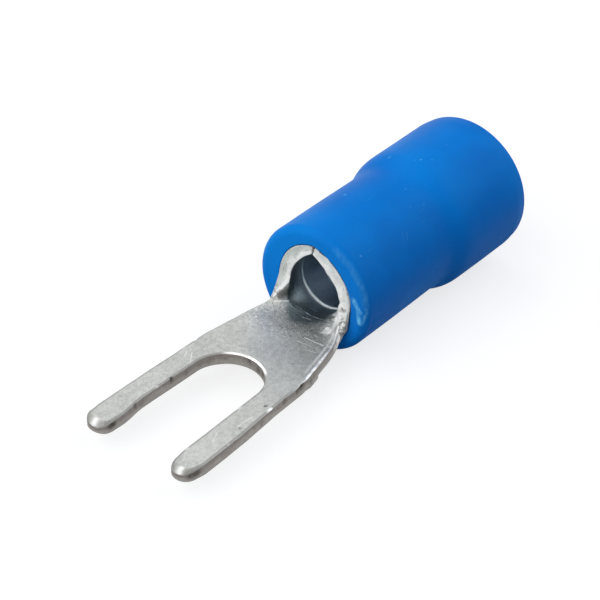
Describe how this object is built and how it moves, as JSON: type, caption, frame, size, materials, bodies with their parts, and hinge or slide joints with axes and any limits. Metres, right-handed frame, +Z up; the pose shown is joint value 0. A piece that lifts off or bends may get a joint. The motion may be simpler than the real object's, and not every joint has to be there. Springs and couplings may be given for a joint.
{
  "type": "insulated fork crimp terminal",
  "caption": "Insulated fork spade terminal: a flat tinned fork whose neck folds up into a rolled crimp barrel, pushed into a bell-mouthed blue sleeve.",
  "frame": {"origin": "centre of the slot's round end, on the underside of the tongue", "axes": "+X from the fork towards the wire entry, +Y across the fork, +Z up through the tongue along the stud"},
  "size_m": [0.0213, 0.0062, 0.0063],
  "materials": {
    "tinned_metal": "satin",
    "blue_sleeve": "satin"
  },
  "bodies": {
    "root": {"fork_terminal": "tinned_metal", "insulating_sleeve": "blue_sleeve"}
  },
  "joints": []
}
